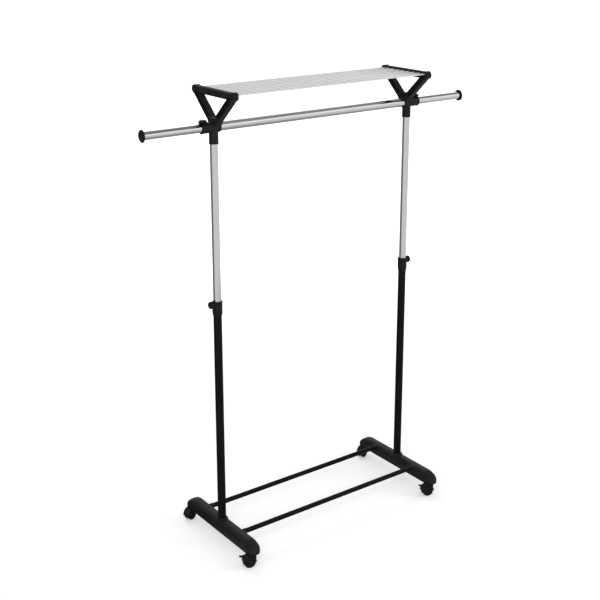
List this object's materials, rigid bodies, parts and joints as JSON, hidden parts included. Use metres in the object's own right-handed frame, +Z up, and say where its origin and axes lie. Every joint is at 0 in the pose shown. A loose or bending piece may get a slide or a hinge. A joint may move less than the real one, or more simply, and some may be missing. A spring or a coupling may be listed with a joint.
{
  "type": "rolling clothes rack",
  "caption": "Rolling clothes rack: black base on swivel casters, chrome height-adjustable posts, extending hanging bar and a rod shelf on triangular brackets.",
  "frame": {"origin": "on the floor, midway between the two posts", "axes": "X along the hanging bar, -Y to the front with the braked casters, +Z up"},
  "size_m": [1.498, 0.484, 1.7952],
  "materials": {
    "black_plastic": "moulded, fine texture",
    "black_paint": "satin powder coat",
    "chrome": "bright plated tube",
    "steel": "zinc plated",
    "pale_plastic": "natural nylon",
    "wheel_black": "hard nylon tread"
  },
  "bodies": {
    "base": {"foot_left": "black_plastic", "foot_right": "black_plastic", "foot_plate_left": "steel", "foot_plate_right": "steel", "foot_screws": "steel", "post_bolts": "steel", "post_plugs": "steel", "lower_post_left": "black_paint", "lower_post_right": "black_paint", "bottom_bar_front": "black_paint", "bottom_bar_rear": "black_paint", "bar_plugs": "black_plastic", "bar_screws": "steel", "caster_sockets": "steel", "collar_left": "black_plastic", "collar_right": "black_plastic", "collar_liners": "pale_plastic"},
    "upper_frame": {"upper_post_left": "chrome", "upper_post_right": "chrome", "guide_bushes": "pale_plastic", "bar_connector_left": "black_plastic", "bar_connector_right": "black_plastic", "shelf_bracket_left": "black_plastic", "shelf_bracket_right": "black_plastic", "bracket_screws": "steel", "hanging_bar": "chrome", "bar_bushes": "pale_plastic", "shelf_rods": "chrome"},
    "height_knob_left": {"height_knob_left": "black_plastic", "height_stud_left": "steel"},
    "lock_knob_left": {"lock_knob_left": "black_plastic", "lock_stud_left": "steel"},
    "extension_left": {"extension_rod_left": "chrome", "extension_plug_left": "pale_plastic", "end_cap_left": "black_plastic"},
    "height_knob_right": {"height_knob_right": "black_plastic", "height_stud_right": "steel"},
    "lock_knob_right": {"lock_knob_right": "black_plastic", "lock_stud_right": "steel"},
    "extension_right": {"extension_rod_right": "chrome", "extension_plug_right": "pale_plastic", "end_cap_right": "black_plastic"},
    "caster_front_left": {"caster_hood_front_left": "black_plastic", "caster_stem_front_left": "steel", "caster_axle_front_left": "steel"},
    "wheels_front_left": {"wheels_front_left": "wheel_black"},
    "brake_front_left": {"brake_lever_front_left": "black_plastic"},
    "caster_front_right": {"caster_hood_front_right": "black_plastic", "caster_stem_front_right": "steel", "caster_axle_front_right": "steel"},
    "wheels_front_right": {"wheels_front_right": "wheel_black"},
    "brake_front_right": {"brake_lever_front_right": "black_plastic"},
    "caster_rear_left": {"caster_hood_rear_left": "black_plastic", "caster_stem_rear_left": "steel", "caster_axle_rear_left": "steel"},
    "wheels_rear_left": {"wheels_rear_left": "wheel_black"},
    "caster_rear_right": {"caster_hood_rear_right": "black_plastic", "caster_stem_rear_right": "steel", "caster_axle_rear_right": "steel"},
    "wheels_rear_right": {"wheels_rear_right": "wheel_black"}
  },
  "joints": [
    {"name": "height_slide", "type": "slide", "parent": "base", "child": "upper_frame", "axis": [0, 0, 1], "range_m": [-0.47, 0.06]},
    {"name": "height_knob_left_turn", "type": "hinge", "parent": "base", "child": "height_knob_left", "pos_m": [-0.486, 0, 0.993], "axis": [-1, 0, 0], "range_deg": [0, 360]},
    {"name": "lock_knob_left_turn", "type": "hinge", "parent": "upper_frame", "child": "lock_knob_left", "pos_m": [-0.501, 0, 1.684], "axis": [0, 0, 1], "range_deg": [0, 360]},
    {"name": "extension_left_slide", "type": "slide", "parent": "upper_frame", "child": "extension_left", "axis": [-1, 0, 0], "range_m": [-0.22, 0]},
    {"name": "height_knob_right_turn", "type": "hinge", "parent": "base", "child": "height_knob_right", "pos_m": [0.486, 0, 0.993], "axis": [1, 0, 0], "range_deg": [0, 360]},
    {"name": "lock_knob_right_turn", "type": "hinge", "parent": "upper_frame", "child": "lock_knob_right", "pos_m": [0.501, 0, 1.684], "axis": [0, 0, 1], "range_deg": [0, 360]},
    {"name": "extension_right_slide", "type": "slide", "parent": "upper_frame", "child": "extension_right", "axis": [1, 0, 0], "range_m": [-0.22, 0]},
    {"name": "caster_front_left_swivel", "type": "hinge", "parent": "base", "child": "caster_front_left", "pos_m": [-0.457, -0.223, 0.052], "axis": [0, 0, 1], "continuous": true},
    {"name": "wheels_front_left_roll", "type": "hinge", "parent": "caster_front_left", "child": "wheels_front_left", "pos_m": [-0.47485, -0.2165, 0.023], "axis": [0.342, 0.9397, 0], "continuous": true},
    {"name": "brake_front_left_press", "type": "hinge", "parent": "caster_front_left", "child": "brake_front_left", "pos_m": [-0.49553, -0.20898, 0.043], "axis": [-0.342, -0.9397, 0], "range_deg": [0, 18]},
    {"name": "caster_front_right_swivel", "type": "hinge", "parent": "base", "child": "caster_front_right", "pos_m": [0.457, -0.223, 0.052], "axis": [0, 0, 1], "continuous": true},
    {"name": "wheels_front_right_roll", "type": "hinge", "parent": "caster_front_right", "child": "wheels_front_right", "pos_m": [0.43915, -0.2165, 0.023], "axis": [0.342, 0.9397, 0], "continuous": true},
    {"name": "brake_front_right_press", "type": "hinge", "parent": "caster_front_right", "child": "brake_front_right", "pos_m": [0.41847, -0.20898, 0.043], "axis": [-0.342, -0.9397, 0], "range_deg": [0, 18]},
    {"name": "caster_rear_left_swivel", "type": "hinge", "parent": "base", "child": "caster_rear_left", "pos_m": [-0.457, 0.223, 0.052], "axis": [0, 0, 1], "continuous": true},
    {"name": "wheels_rear_left_roll", "type": "hinge", "parent": "caster_rear_left", "child": "wheels_rear_left", "pos_m": [-0.47485, 0.2165, 0.023], "axis": [-0.342, 0.9397, 0], "continuous": true},
    {"name": "caster_rear_right_swivel", "type": "hinge", "parent": "base", "child": "caster_rear_right", "pos_m": [0.457, 0.223, 0.052], "axis": [0, 0, 1], "continuous": true},
    {"name": "wheels_rear_right_roll", "type": "hinge", "parent": "caster_rear_right", "child": "wheels_rear_right", "pos_m": [0.43915, 0.2165, 0.023], "axis": [-0.342, 0.9397, 0], "continuous": true}
  ]
}
